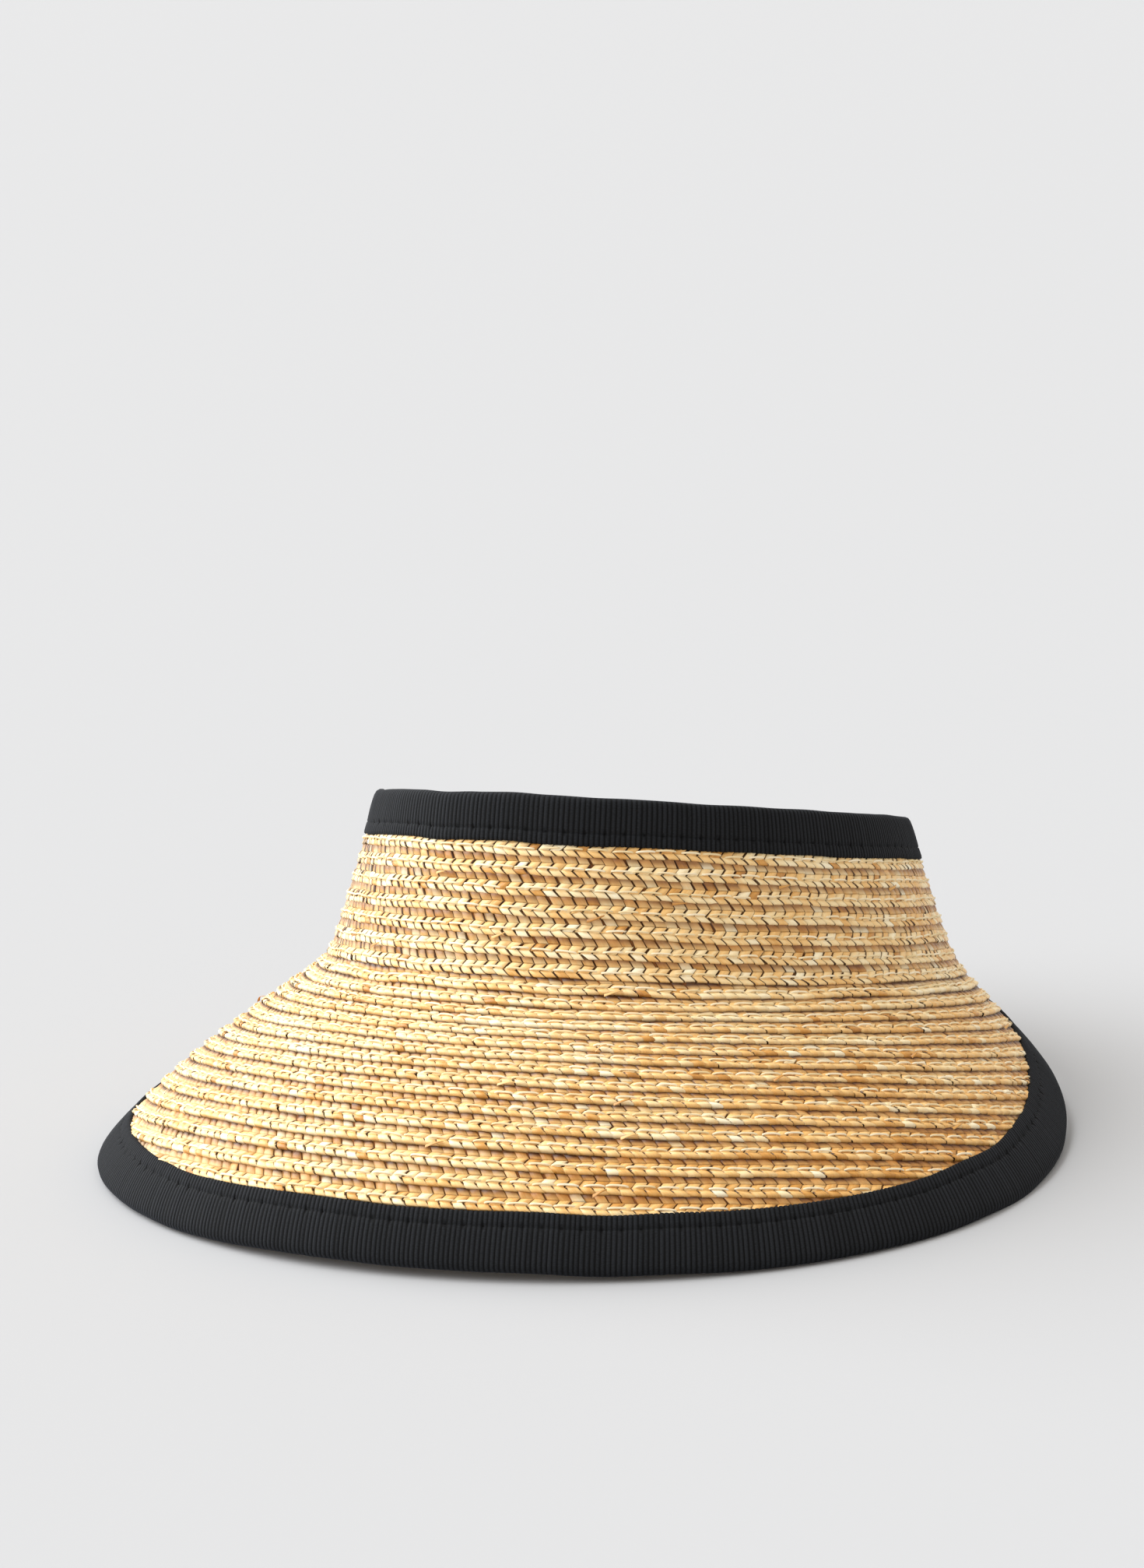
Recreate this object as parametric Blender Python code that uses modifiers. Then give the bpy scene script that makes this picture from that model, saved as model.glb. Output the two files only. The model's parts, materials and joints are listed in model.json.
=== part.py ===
"""Straw sun visor with an open top.

A ring of sewn braid rows forms the crown band. The same rows run on as a brim that is wide at
the front and nearly closes at the back. A folded ribbon binds the raw edge of each. The visor is
modelled level, on its crown rim, and then leaned back until its front edge and the back of its
brim both touch the surface that it lies on. Metres, +Z up, the front of the visor towards -Y.
"""
import math

import bmesh
import bpy
import numpy as np

# Crown rim, an egg-shaped ring that is wider at the back of the head
RIM_HALF_WIDTH = 0.0799
RIM_HALF_LENGTH = 0.0970
RIM_EGG = 0.05

# Slope of the wall below the level of the rim, in degrees: front, front side, back side, back
CROWN_SLOPE = (85.6, 76.9, 68.2, 67.7)
BRIM_SLOPE_AT_BEND = (30.1, 34.5, 44.5, 44.9)
BRIM_SLOPE_AT_FULL = (101.1, 64.7, 73.5, 85.2)

# Depth of the crown down its wall, and the bend that turns it into the brim
CROWN_DEPTH = 0.0538
BEND_DEPTH = 0.0521
BEND_DROP_AT_FRONT = 0.0079
BEND_HALF_LENGTH = 0.0103

# Distance past the bend at which the brim has its full slope, and how late it steepens
BRIM_FULL_LENGTH = 0.110
BRIM_CURL = 1.73

# Length of the brim down its slope, from the foot of the crown to the edge of the binding:
# front, front quarter, side, back quarter, back
BRIM_LENGTH = (0.1058, 0.1030, 0.0664, 0.0250, 0.0205)

# Braid rows, each lapped over the next like a shingle
CROWN_ROWS_SHOWN = 7
CROWN_ROW_PITCH = 0.0060
BRIM_ROW_PITCH_AT_BEND = 0.0048
BRIM_ROW_PITCH_AT_EDGE = 0.0066
BRIM_ROW_SPREAD_AT_SIDE = 0.07
BRIM_ROWS = 19
ROW_LAP = 0.0007
ROW_STEP = 0.0003
STRAW_THICKNESS = 0.0012

# Ribbon folded over the raw edges
CROWN_BINDING_WIDTH = 0.0143
BRIM_BINDING_WIDTH = 0.0170
RIBBON_THICKNESS = 0.0010
FOLD_ANGLES_DEG = (45.0, 90.0, 135.0)

# Room between pieces that touch
SEAM_GAP = 0.0003
BINDING_GAP = 0.0004

# Fineness of the faceted walls
SECTIONS_AROUND = 52
PROFILE_STEP = 0.0005
PROFILE_PAST_EDGE = 1.25
SAME_POINT = 0.0001
LARGEST_LEAN_DEG = 40.0
HALVINGS = 40

STRAW_COLOUR = (0.70, 0.47, 0.20, 1.0)
RIBBON_COLOUR = (0.012, 0.016, 0.022, 1.0)


def around(values, turn):
    """Cosine series through values given at equal steps from the front to the back."""
    order = np.arange(len(values))
    stations = np.linspace(0.0, math.pi, len(values))
    series = np.linalg.solve(np.cos(np.outer(stations, order)), np.array(values))
    return np.cos(np.outer(turn, order)) @ series


def rim_plan(turn):
    """Plan of the crown rim: x and y of the ring at each turn, 0 at the front."""
    x = RIM_HALF_WIDTH * np.sin(turn) * (1.0 - RIM_EGG * np.cos(turn))
    y = -RIM_HALF_LENGTH * np.cos(turn)
    return x, y


def rim_outward(turn):
    """Unit direction in plan that points away from the head at each turn."""
    nudge = 1e-4
    x_after, y_after = rim_plan(turn + nudge)
    x_before, y_before = rim_plan(turn - nudge)
    out_x = y_after - y_before
    out_y = x_before - x_after
    length = np.hypot(out_x, out_y)
    return out_x / length, out_y / length


def wall_slope(turn, depth):
    """Slope of the wall in radians, a row for each turn and a column for each depth."""
    crown = around(CROWN_SLOPE, turn)[:, None]
    brim_start = around(BRIM_SLOPE_AT_BEND, turn)[:, None]
    brim_full = around(BRIM_SLOPE_AT_FULL, turn)[:, None]
    bend = (BEND_DEPTH + BEND_DROP_AT_FRONT * np.cos(turn))[:, None]
    share = np.clip((depth[None, :] - bend + BEND_HALF_LENGTH) / (2.0 * BEND_HALF_LENGTH), 0.0, 1.0)
    past_bend = share * share * (3.0 - 2.0 * share)
    out = np.clip((depth[None, :] - bend) / BRIM_FULL_LENGTH, 0.0, 1.3) ** BRIM_CURL
    brim = brim_start + (brim_full - brim_start) * out
    return np.radians(crown * (1.0 - past_bend) + brim * past_bend)


def bare_wall(turn, depth):
    """Points of the level visor at each turn and each depth down the wall.

    The profile of each turn is its slope added up along the wall. It starts on the rim and is
    carried outwards from it in plan.
    """
    reach = CROWN_DEPTH + PROFILE_PAST_EDGE * max(BRIM_LENGTH)
    steps = np.arange(0.0, reach, PROFILE_STEP)
    slope = wall_slope(turn, steps)
    run_out = np.zeros_like(slope)
    run_down = np.zeros_like(slope)
    middle = (slope[:, 1:] + slope[:, :-1]) / 2.0
    run_out[:, 1:] = np.cumsum(np.cos(middle), axis=1) * PROFILE_STEP
    run_down[:, 1:] = np.cumsum(np.sin(middle), axis=1) * PROFILE_STEP
    rim_x, rim_y = rim_plan(turn)
    out_x, out_y = rim_outward(turn)
    points = np.zeros(depth.shape + (3,))
    for i in range(len(turn)):
        outwards = np.interp(depth[i], steps, run_out[i])
        points[i, :, 0] = rim_x[i] + out_x[i] * outwards
        points[i, :, 1] = rim_y[i] + out_y[i] * outwards
        points[i, :, 2] = -np.interp(depth[i], steps, run_down[i])
    return points


def wall_points(turn, depth, lift):
    """Points at each turn and depth, lifted off the wall along its own normal."""
    nudge = 2.0 * PROFILE_STEP
    down = bare_wall(turn, depth + nudge) - bare_wall(turn, np.maximum(depth - nudge, 0.0))
    round_head = bare_wall(turn + nudge, depth) - bare_wall(turn - nudge, depth)
    normal = np.cross(down, round_head)
    normal /= np.linalg.norm(normal, axis=2, keepdims=True)
    return bare_wall(turn, depth) + normal * lift[..., None]


def shingle(start, pitches):
    """Depths and lifts of a run of rows: each row rises from its head to its lower edge."""
    depth = [start]
    lift = [-ROW_LAP / 2.0]
    for edge in start + np.cumsum(pitches):
        depth += [edge, edge + ROW_STEP]
        lift += [ROW_LAP / 2.0, -ROW_LAP / 2.0]
    return np.array(depth[:-1]), np.array(lift[:-1])


def brim_edge(turn):
    """Depth of the outer edge of the brim's binding at each turn."""
    return CROWN_DEPTH + around(BRIM_LENGTH, turn)


def edge_skew(turn):
    """Growth of a width that is measured square to the brim's edge, when taken down the wall."""
    nudge = 1e-3
    rise = (brim_edge(turn + nudge) - brim_edge(turn - nudge)) / (2.0 * nudge)
    edge = bare_wall(turn, brim_edge(turn)[:, None])[:, 0]
    radius = np.hypot(edge[:, 0], edge[:, 1])
    return np.sqrt(1.0 + (rise / radius) ** 2)


def straw_start():
    """Depth of a raw straw edge inside the fold of its binding."""
    return RIBBON_THICKNESS + 2.0 * BINDING_GAP


def fold_section(width):
    """Section of a folded ribbon: distance from the fold and lift, front leg to back leg."""
    front = ROW_LAP / 2.0 + BINDING_GAP + RIBBON_THICKNESS
    back = -(ROW_LAP / 2.0 + STRAW_THICKNESS + BINDING_GAP + RIBBON_THICKNESS)
    middle = (front + back) / 2.0
    half = (front - back) / 2.0
    distance = [width, width / 2.0, half]
    lift = [front, front, front]
    for angle in FOLD_ANGLES_DEG:
        distance.append(half * (1.0 - math.sin(math.radians(angle))))
        lift.append(middle + half * math.cos(math.radians(angle)))
    distance += [half, width / 2.0, width]
    lift += [back, back, back]
    return np.array(distance), np.array(lift)


def principled(name, colour, roughness):
    """Plain matt material of one colour."""
    material = bpy.data.materials.new(name)
    material.use_nodes = True
    shader = material.node_tree.nodes["Principled BSDF"]
    shader.inputs["Base Color"].default_value = colour
    shader.inputs["Roughness"].default_value = roughness
    shader.inputs["Metallic"].default_value = 0.0
    return material


def ring_shell(name, points, thickness, material, frame, collection, even=False):
    """Closed shell lofted round the head through one section of points for each turn."""
    sections, across = points.shape[:2]
    mesh = bpy.data.meshes.new(name)
    faces = []
    for i in range(sections):
        j = (i + 1) % sections
        for k in range(across - 1):
            faces.append((i * across + k, i * across + k + 1, j * across + k + 1, j * across + k))
    mesh.from_pydata([tuple(point) for point in points.reshape(-1, 3)], [], faces)
    shell = bmesh.new()
    shell.from_mesh(mesh)
    bmesh.ops.remove_doubles(shell, verts=shell.verts, dist=SAME_POINT)
    shell.to_mesh(mesh)
    shell.free()
    mesh.shade_smooth()
    mesh.set_sharp_from_angle(angle=math.radians(35.0))
    mesh.materials.append(material)
    piece = bpy.data.objects.new(name, mesh)
    collection.objects.link(piece)
    piece.parent = frame
    wall = piece.modifiers.new("wall", "SOLIDIFY")
    wall.thickness = thickness
    wall.offset = -1.0
    wall.use_even_offset = even
    return piece


def crown_points(turn):
    """Outer surface of the crown band: a plain head under the binding, then its braid rows."""
    head = CROWN_DEPTH - CROWN_ROWS_SHOWN * CROWN_ROW_PITCH - straw_start()
    pitches = [head] + [CROWN_ROW_PITCH] * CROWN_ROWS_SHOWN
    depth, lift = shingle(straw_start(), pitches)
    depth[-1] -= SEAM_GAP / 2.0
    return wall_points(turn, np.tile(depth, (len(turn), 1)), np.tile(lift, (len(turn), 1)))


def brim_points(turn):
    """Outer surface of the brim's braid rows, each cut off where it meets the raw edge."""
    pitches = np.linspace(BRIM_ROW_PITCH_AT_BEND, BRIM_ROW_PITCH_AT_EDGE, BRIM_ROWS)
    depth, lift = shingle(0.0, pitches)
    spread = 1.0 + BRIM_ROW_SPREAD_AT_SIDE * (1.0 - np.cos(turn))
    raw_edge = (brim_edge(turn) - straw_start() * edge_skew(turn) - CROWN_DEPTH) / spread
    cut_depth = np.minimum(depth[None, :], raw_edge[:, None])
    cut_lift = np.interp(cut_depth, depth, lift)
    return wall_points(turn, CROWN_DEPTH + SEAM_GAP / 2.0 + cut_depth * spread[:, None], cut_lift)


def crown_binding_points(turn):
    """Outer face of the ribbon folded over the crown rim."""
    distance, lift = fold_section(CROWN_BINDING_WIDTH)
    return wall_points(turn, np.tile(distance, (len(turn), 1)), np.tile(lift, (len(turn), 1)))


def brim_binding_points(turn):
    """Outer face of the ribbon folded over the raw edge of the brim."""
    distance, lift = fold_section(BRIM_BINDING_WIDTH)
    depth = brim_edge(turn)[:, None] - distance[None, :] * edge_skew(turn)[:, None]
    return wall_points(turn, depth, np.tile(lift, (len(turn), 1)))


def leaned(outline, lean):
    """Depth-wise and upward coordinates of an outline that is leaned back about the side axis."""
    y = outline[..., 1] * math.cos(lean) + outline[..., 2] * math.sin(lean)
    z = outline[..., 2] * math.cos(lean) - outline[..., 1] * math.sin(lean)
    return y, z


def resting_lean(outline):
    """Lean at which the lowest points of the front and back halves are level, by halving."""
    front = outline[..., 1] < 0.0
    low, high = 0.0, math.radians(LARGEST_LEAN_DEG)
    for _ in range(HALVINGS):
        lean = (low + high) / 2.0
        _, z = leaned(outline, lean)
        if z[front].min() < z[~front].min():
            low = lean
        else:
            high = lean
    return lean


def resting_frame(outline, collection):
    """Empty that leans the level visor back and stands it on the surface, centred in plan."""
    frame = bpy.data.objects.new("visor_frame", None)
    lean = resting_lean(outline)
    y, z = leaned(outline, lean)
    frame.rotation_euler = (-lean, 0.0, 0.0)
    frame.location = (0.0, -(y.min() + y.max()) / 2.0, -z.min())
    collection.objects.link(frame)
    return frame


def main():
    for item in list(bpy.data.objects):
        bpy.data.objects.remove(item)
    collection = bpy.data.collections.new("straw_sun_visor")
    bpy.context.scene.collection.children.link(collection)

    turn = np.linspace(-math.pi, math.pi, SECTIONS_AROUND, endpoint=False)
    straw = principled("straw_braid", STRAW_COLOUR, 0.55)
    ribbon = principled("ribbon_binding", RIBBON_COLOUR, 0.80)

    brim_binding = brim_binding_points(turn)
    frame = resting_frame(brim_binding, collection)
    ring_shell("crown_braid", crown_points(turn), STRAW_THICKNESS, straw, frame, collection)
    ring_shell("brim_braid", brim_points(turn), STRAW_THICKNESS, straw, frame, collection)
    crown_binding = crown_binding_points(turn)[:, ::-1]
    ring_shell("crown_binding", crown_binding, RIBBON_THICKNESS, ribbon, frame, collection, even=True)
    ring_shell("brim_binding", brim_binding, RIBBON_THICKNESS, ribbon, frame, collection, even=True)
    bpy.context.view_layer.update()


main()
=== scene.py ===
"""Looks of a straw sun visor with an open top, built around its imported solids.

The visor's wall is one surface: a turn round the head, 0 at the front, and a depth down from the
crown's rim. Every straw splint, stitch and ribbon rib is laid out on that surface with numpy.
"""
import json
import math

import bpy
import numpy as np
from bpy.props import FloatProperty, FloatVectorProperty, IntProperty, PointerProperty
from mathutils import Matrix, Vector


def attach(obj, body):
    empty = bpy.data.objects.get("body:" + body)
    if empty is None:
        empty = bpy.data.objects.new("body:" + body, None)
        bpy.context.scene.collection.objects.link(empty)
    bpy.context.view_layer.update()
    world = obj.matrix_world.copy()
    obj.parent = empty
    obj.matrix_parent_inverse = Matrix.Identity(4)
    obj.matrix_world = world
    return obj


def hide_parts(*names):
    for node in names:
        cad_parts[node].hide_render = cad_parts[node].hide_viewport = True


bl_info = {
    "name": "Straw Sun Visor",
    "version": (1, 0, 0),
    "blender": (4, 5, 0),
    "location": "View3D > Sidebar > Visor",
    "description": "Builds a sewn straw sun visor with ribbon bindings, splint by splint",
    "category": "Object",
}

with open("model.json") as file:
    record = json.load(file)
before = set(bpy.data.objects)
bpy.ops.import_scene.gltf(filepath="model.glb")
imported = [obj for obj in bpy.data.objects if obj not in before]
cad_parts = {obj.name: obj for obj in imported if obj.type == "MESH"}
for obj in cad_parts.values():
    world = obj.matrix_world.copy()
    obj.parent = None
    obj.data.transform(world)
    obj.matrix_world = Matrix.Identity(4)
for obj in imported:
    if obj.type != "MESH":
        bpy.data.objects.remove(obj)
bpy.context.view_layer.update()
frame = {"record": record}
HEAD_OPENING = next(m for m in frame["record"]["mounts"] if m["name"] == "head_opening")
MM = 0.001
FULL_TURN = 2.0 * math.pi
# Outer face of the braid to its inner one
INNER_FACE = 1.25 * MM


def linear(code, alpha=1.0):
    """Linear colour of an sRGB hex code."""
    parts = [int(code[i:i + 2], 16) / 255.0 for i in (1, 3, 5)]
    flat = [p / 12.92 if p <= 0.04045 else ((p + 0.055) / 1.055) ** 2.4 for p in parts]
    return (flat[0], flat[1], flat[2], alpha)


def length(name, default, description):
    """Property for a length in metres."""
    return FloatProperty(name=name, default=default, description=description, unit="LENGTH",
                         min=0.0, precision=5)


def colour(name, code, description):
    """Property for a colour, given as an sRGB hex code."""
    return FloatVectorProperty(name=name, default=linear(code), description=description,
                               subtype="COLOR", size=4, min=0.0, max=1.0)


class VisorShape(bpy.types.PropertyGroup):
    """Sizes of the wall, those of the solids."""

    rim_half_width: length("Rim half width", 0.0799, "Half of the crown rim's width")
    rim_half_length: length("Rim half length", 0.0970, "Half of the crown rim, front to back")
    rim_egg: FloatProperty(name="Rim egg", default=0.05, description="Narrowing to the front")
    crown_depth: length("Crown depth", 0.0538, "Rim to the foot of the crown, down the wall")
    bend_depth: length("Bend depth", 0.0521, "Rim to the middle of the bend, down the wall")
    bend_drop: length("Bend drop", 0.0079, "How much later the wall bends at the front")
    bend_half: length("Bend half length", 0.0103, "Half of the bend, down the wall")
    full_length: length("Full length", 0.110, "Distance past the bend where the brim is steepest")
    curl: FloatProperty(name="Curl", default=1.73, description="How late the brim steepens")
    crown_binding: length("Crown binding", 0.0143, "Ribbon width that shows on the crown")
    brim_binding: length("Brim binding", 0.0170, "Ribbon width that shows on the brim")
    crown_pitch: length("Crown row pitch", 0.0060, "Height of a crown row that shows")
    brim_pitch_in: length("Inner row pitch", 0.0048, "Height of a brim row next to the bend")
    brim_pitch_out: length("Outer row pitch", 0.0066, "Height of a brim row at the edge")
    row_spread: FloatProperty(name="Row spread", default=0.07, description="Growth at the side")
    brim_lap: length("Brim lap", 0.0010, "Rise of a brim row from its head to its lower edge")
    crown_lap: length("Crown lap", 0.0006, "Rise of a crown row from its head to its lower edge")
    crown_rows: IntProperty(name="Crown rows", default=7, description="Rows under the ribbon")
    brim_rows: IntProperty(name="Brim rows", default=19, description="Rows cut from the brim")


# Slopes below the rim's level in degrees, at equal turns from the front to the back
CROWN_SLOPE = (85.6, 76.9, 68.2, 67.7)
BRIM_SLOPE_AT_BEND = (30.1, 34.5, 44.5, 44.9)
BRIM_SLOPE_AT_FULL = (101.1, 64.7, 73.5, 85.2)
# Foot of the crown to the brim's edge in metres, at equal turns from the front to the back
BRIM_LENGTH = (0.1058, 0.1030, 0.0664, 0.0250, 0.0205)


class BraidLooks(bpy.types.PropertyGroup):
    """Plait of split wheat straw."""

    pitch: length("Plait pitch", 0.0037, "Distance between splints along a row")
    rope: length("Folded edge", 0.0019, "Height of the folded lower edge")
    lean: length("Splint lean", 0.0021, "How far a splint leans along the row")
    puff: length("Splint puff", 0.00050, "Height of a splint's face")
    rope_puff: length("Edge puff", 0.00066, "Height of the folded edge's beads")
    crown_press: FloatProperty(name="Crown press", default=0.62, min=0.0, max=1.0,
                               description="How much of the folded edge's height the crown keeps")
    dive: length("Dive", 0.00032, "How far a splint's rim sinks below its neighbours")
    tilt: length("Tilt", 0.00012, "How far a splint's right side stands over the next")
    stitch: length("Stitch", 0.0070, "Length of a sewing stitch")
    thread: length("Thread radius", 0.00032, "Radius of the sewing thread")
    wander: length("Wander", 0.00040, "How far rows wander from their line")
    golden: colour("Golden", "#F1C37C", "Most of the straw")
    brown: colour("Brown", "#9C6226", "Weathered splints and creases")
    pale: colour("Pale", "#FDF2D4", "Bleached splints")
    cream: colour("Thread", "#FCEFD2", "Sewing thread")


class RibbonLooks(bpy.types.PropertyGroup):
    """Grosgrain ribbon."""

    rib: length("Rib pitch", 0.00150, "Distance between cross ribs")
    rib_height: length("Rib height", 0.00026, "Height of a rib")
    stitch: length("Stitch", 0.0057, "Length of a stitch through the ribbon")
    ink: colour("Ribbon", "#08090B", "Blue-black yarn")
    bloom: colour("Bloom", "#68707F", "Light caught by the yarn's fuzz")


class StageLooks(bpy.types.PropertyGroup):
    """Camera, floor and light."""

    azimuth: FloatProperty(name="Azimuth", default=24.0, description="Camera turn, degrees")
    elevation: FloatProperty(name="Elevation", default=12.6, description="Camera height, degrees")
    distance: length("Distance", 1.421, "Camera to the centre of the rim")
    yaw: FloatProperty(name="Yaw", default=0.87, description="Aim past the rim, degrees")
    pitch: FloatProperty(name="Pitch", default=0.29, description="Aim above the rim, degrees")
    roll: FloatProperty(name="Roll", default=-3.08, description="Camera roll, degrees")
    lens: FloatProperty(name="Lens", default=68.8, description="Lens for a 24 mm high frame")
    paper: colour("Backdrop", "#B1B2B5", "Floor and backdrop paper")


def around(values, turn):
    """Cosine series through values given at equal steps from the front to the back."""
    order = np.arange(len(values))
    stations = np.linspace(0.0, math.pi, len(values))
    series = np.linalg.solve(np.cos(np.outer(stations, order)), np.array(values))
    return np.tensordot(np.cos(np.multiply.outer(turn, order)), series, 1)


def smooth(low, high, value):
    """Smooth step from 0 at low to 1 at high."""
    share = np.clip((value - low) / (high - low), 0.0, 1.0)
    return share * share * (3.0 - 2.0 * share)


class Wall:
    """The visor's wall, tabled once: points and outward normals by turn and depth.

    The profile at each turn is its slope added up along the wall, carried outwards from the
    egg-shaped rim. The level visor is then leaned and moved to the head opening's mount.
    """

    turns = 1440
    step = 0.5 * MM
    # The table runs on past the brim's edge, by this much of the brim's length
    past_edge = 0.25

    def __init__(self, shape):
        self.shape = shape
        turn = np.linspace(-math.pi, math.pi, self.turns, endpoint=False)
        reach = shape.crown_depth + (1.0 + self.past_edge) * max(BRIM_LENGTH)
        depth = np.arange(0.0, reach, self.step)
        slope = self.slope(turn, depth)
        middle = (slope[:, 1:] + slope[:, :-1]) / 2.0
        out = np.zeros_like(slope)
        down = np.zeros_like(slope)
        out[:, 1:] = np.cumsum(np.cos(middle), axis=1) * self.step
        down[:, 1:] = np.cumsum(np.sin(middle), axis=1) * self.step
        rim_x = shape.rim_half_width * np.sin(turn) * (1.0 - shape.rim_egg * np.cos(turn))
        rim_y = -shape.rim_half_length * np.cos(turn)
        side_x = np.roll(rim_y, -1) - np.roll(rim_y, 1)
        side_y = np.roll(rim_x, 1) - np.roll(rim_x, -1)
        size = np.hypot(side_x, side_y)
        x = rim_x[:, None] + out * (side_x / size)[:, None]
        y = rim_y[:, None] + out * (side_y / size)[:, None]
        place = HEAD_OPENING["pos_m"]
        lean = math.atan2(HEAD_OPENING["axis"][1], HEAD_OPENING["axis"][2])
        self.points = np.stack([
            x + place[0],
            y * math.cos(lean) - down * math.sin(lean) + place[1],
            -y * math.sin(lean) - down * math.cos(lean) + place[2],
        ], axis=-1)
        along = np.roll(self.points, -1, axis=0) - np.roll(self.points, 1, axis=0)
        normal = np.cross(np.gradient(self.points, axis=1), along)
        self.normals = normal / np.linalg.norm(normal, axis=-1, keepdims=True)

    def slope(self, turn, depth):
        """Slope of the wall below the rim's level, in radians.

        The crown's slope turns into the brim's first one over the bend, and from there to the
        brim's last one with a power of the distance past the bend.
        """
        shape = self.shape
        crown = around(CROWN_SLOPE, turn)[:, None]
        start = around(BRIM_SLOPE_AT_BEND, turn)[:, None]
        full = around(BRIM_SLOPE_AT_FULL, turn)[:, None]
        past = depth[None, :] - (shape.bend_depth + shape.bend_drop * np.cos(turn))[:, None]
        bent = smooth(-shape.bend_half, shape.bend_half, past)
        out = np.clip(past / shape.full_length, 0.0, 1.3) ** shape.curl
        return np.radians(crown * (1.0 - bent) + (start + (full - start) * out) * bent)

    def sample(self, table, turn, depth):
        """Values of a table between its grid lines, by turn and depth, blended both ways."""
        i = (turn + math.pi) / FULL_TURN * self.turns
        j = np.clip(depth / self.step, 0.0, table.shape[1] - 1.001)
        i_low = np.floor(i).astype(int)
        j_low = np.floor(j).astype(int)
        s = (i - i_low)[..., None]
        t = (j - j_low)[..., None]
        i_low %= self.turns
        i_high = (i_low + 1) % self.turns
        near = table[i_low, j_low] * (1.0 - t) + table[i_low, j_low + 1] * t
        far = table[i_high, j_low] * (1.0 - t) + table[i_high, j_low + 1] * t
        return near * (1.0 - s) + far * s

    def place(self, turn, depth, lift):
        """Points at a turn and depth, lifted off the wall along its normal.

        Above the rim, at depths below 0, the wall goes on straight.
        """
        points = self.sample(self.points, turn, depth)
        points = points + self.sample(self.normals, turn, depth) * np.asarray(lift)[..., None]
        down = (self.sample(self.points, turn, 0.0 * depth + self.step)
                - self.sample(self.points, turn, 0.0 * depth)) / self.step
        return points + down * np.minimum(depth, 0.0)[..., None]

    def brim_edge(self, turn):
        """Depth of the brim's outer edge."""
        return self.shape.crown_depth + around(BRIM_LENGTH, turn)

    def edge_skew(self, turn):
        """Growth of a width square to the brim's edge, when taken down the wall.

        The edge runs askew by its change of depth over the way round, and the width grows with
        the slant that this makes.
        """
        nudge = 1e-3
        rise = (self.brim_edge(turn + nudge) - self.brim_edge(turn - nudge)) / (2.0 * nudge)
        edge = self.sample(self.points, turn, self.brim_edge(turn))
        edge = edge - np.array(HEAD_OPENING["pos_m"])
        return np.sqrt(1.0 + (rise / np.hypot(edge[..., 0], edge[..., 1])) ** 2)


class Row:
    """One braid row: its lower edge on the wall, its height and its length round the head.

    It wanders from its line by a few slow waves of its own, and laps a little more or less than
    its neighbours.
    """

    samples = 721
    lap_range = (0.7, 1.4)
    wave_counts = (5, 9, 16, 27)

    def __init__(self, wall, edge, height, lap, wander, seed):
        self.wall = wall
        self.edge_of = edge
        self.height_of = height
        rng = np.random.default_rng(seed)
        self.lap = lap * rng.uniform(*self.lap_range)
        self.waves = [(n, wander * rng.normal() / n ** 0.5, rng.uniform(0.0, FULL_TURN))
                      for n in self.wave_counts]
        turn = np.linspace(-3.0 * math.pi, 3.0 * math.pi, 3 * self.samples)
        path = wall.place(turn, self.edge(turn) - self.height(turn) / 2.0, np.zeros_like(turn))
        run = np.concatenate([[0.0], np.cumsum(np.linalg.norm(np.diff(path, axis=0), axis=1))])
        start, end = np.interp([-math.pi, math.pi], turn, run)
        self.length = end - start
        self.run = run - start
        self.turn = turn

    def edge(self, turn):
        """Depth of the row's lower edge, with its slow wander."""
        wander = sum(size * np.sin(n * turn + phase) for n, size, phase in self.waves)
        return self.edge_of(turn) + wander

    def height(self, turn):
        """Height of the row that shows below the row above."""
        return self.height_of(turn)

    def lay(self, along, up, lift, inner=False):
        """Turn, depth and lift of points along the row, above its lower edge and off its face.

        The outer face rises from the row's head to its lower edge, so rows lap like shingles, and
        the inner face follows it a braid's thickness below.
        """
        turn = np.interp(along, self.run, self.turn)
        depth = self.edge(turn) - up
        lap = self.lap * (0.5 - np.clip(up / self.height(turn), 0.0, 1.35))
        if inner:
            return turn, depth, lap - INNER_FACE - lift
        return turn, depth, lap + lift


def crown_rows(wall, looks):
    """Rows of the crown, the topmost half hidden by the ribbon."""
    shape = wall.shape
    rows = []
    for k in range(shape.crown_rows + 1):
        depth = shape.crown_depth - k * shape.crown_pitch
        rows.append(Row(wall, lambda turn, d=depth: d + 0.0 * turn,
                        lambda turn, h=shape.crown_pitch: h + 0.0 * turn,
                        shape.crown_lap, looks.wander, 40 + k))
    return rows


def brim_rows(wall, looks):
    """Rows of the brim from the bend outwards, growing towards the edge and the sides."""
    shape = wall.shape
    pitches = np.linspace(shape.brim_pitch_in, shape.brim_pitch_out, shape.brim_rows)
    ends = np.cumsum(pitches)

    def spread(turn):
        return 1.0 + shape.row_spread * (1.0 - np.cos(turn))

    rows = []
    for k, (end, pitch) in enumerate(zip(ends, pitches)):
        rows.append(Row(wall, lambda turn, e=end: shape.crown_depth + e * spread(turn),
                        lambda turn, p=pitch: p * spread(turn),
                        shape.brim_lap, looks.wander, 80 + k))
    return rows


def smooth_random(rng, count, knots):
    """Values round a loop that drift slowly: random knots joined by a cosine blend."""
    values = rng.normal(size=knots)
    x = np.arange(count) / count * knots
    low = np.floor(x).astype(int) % knots
    share = (1.0 - np.cos(np.pi * (x - np.floor(x)))) / 2.0
    return values[low] * (1.0 - share) + values[(low + 1) % knots] * share


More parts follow.
